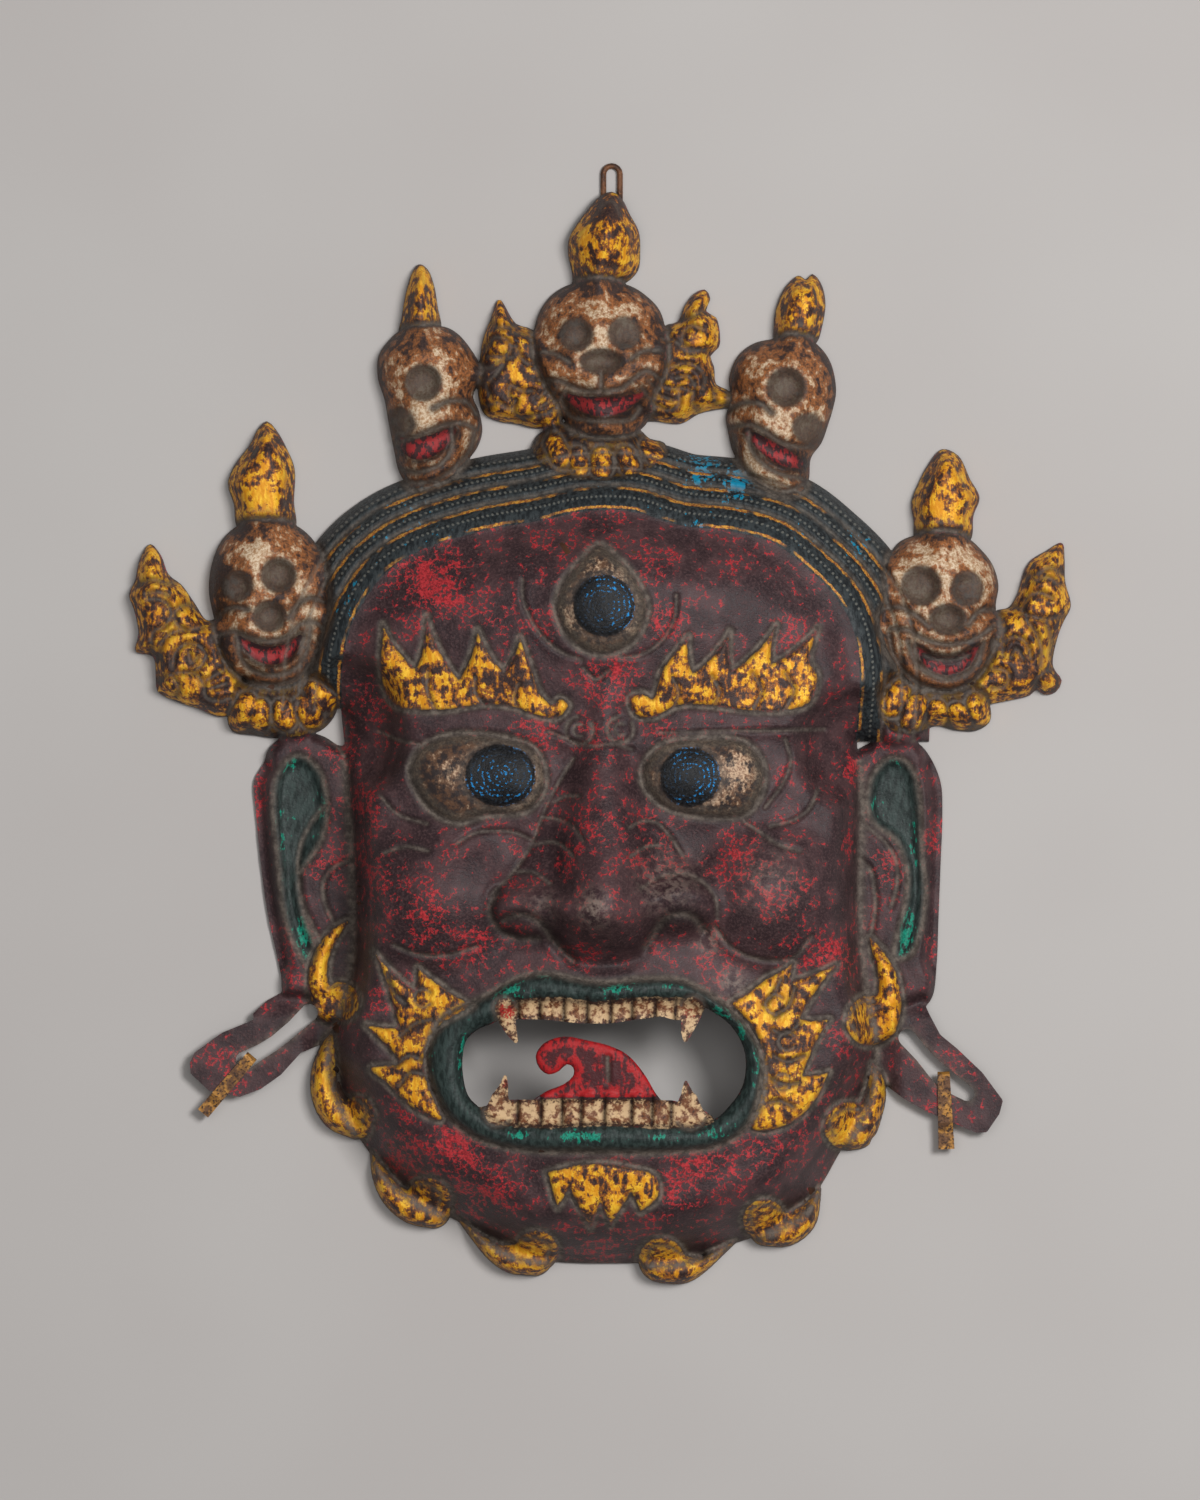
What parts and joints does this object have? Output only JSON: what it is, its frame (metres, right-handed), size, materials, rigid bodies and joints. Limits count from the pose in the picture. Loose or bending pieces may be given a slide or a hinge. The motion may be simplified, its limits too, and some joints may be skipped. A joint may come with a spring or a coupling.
{
  "type": "ceremonial dance mask",
  "caption": "Hammered and painted copper wall mask of a wrathful guardian, with a fanged open mouth, a crown of skulls, slit ear lobes with gilded bands and a wire hanging loop.",
  "frame": {"origin": "centre of the bounding box at its underside, the plane that the rim of the mask rests on", "axes": "+Z the way the face looks, up from the floor; +Y from the chin to the crown; +X to the right as seen from the front"},
  "size_m": [0.3138, 0.3736, 0.0706],
  "materials": {
    "painted_copper": "worn maroon, black, green and gilded paint over hammered copper, dusty in the grooves",
    "rusty_wire": "dull brown oxidised wire",
    "gilded_band_left": "worn gilding over brown copper",
    "gilded_band_right": "worn gilding over brown copper"
  },
  "bodies": {
    "root": {"mask": "painted_copper", "hanging_loop": "rusty_wire", "earring_band_left": "gilded_band_left", "earring_band_right": "gilded_band_right"}
  },
  "joints": []
}
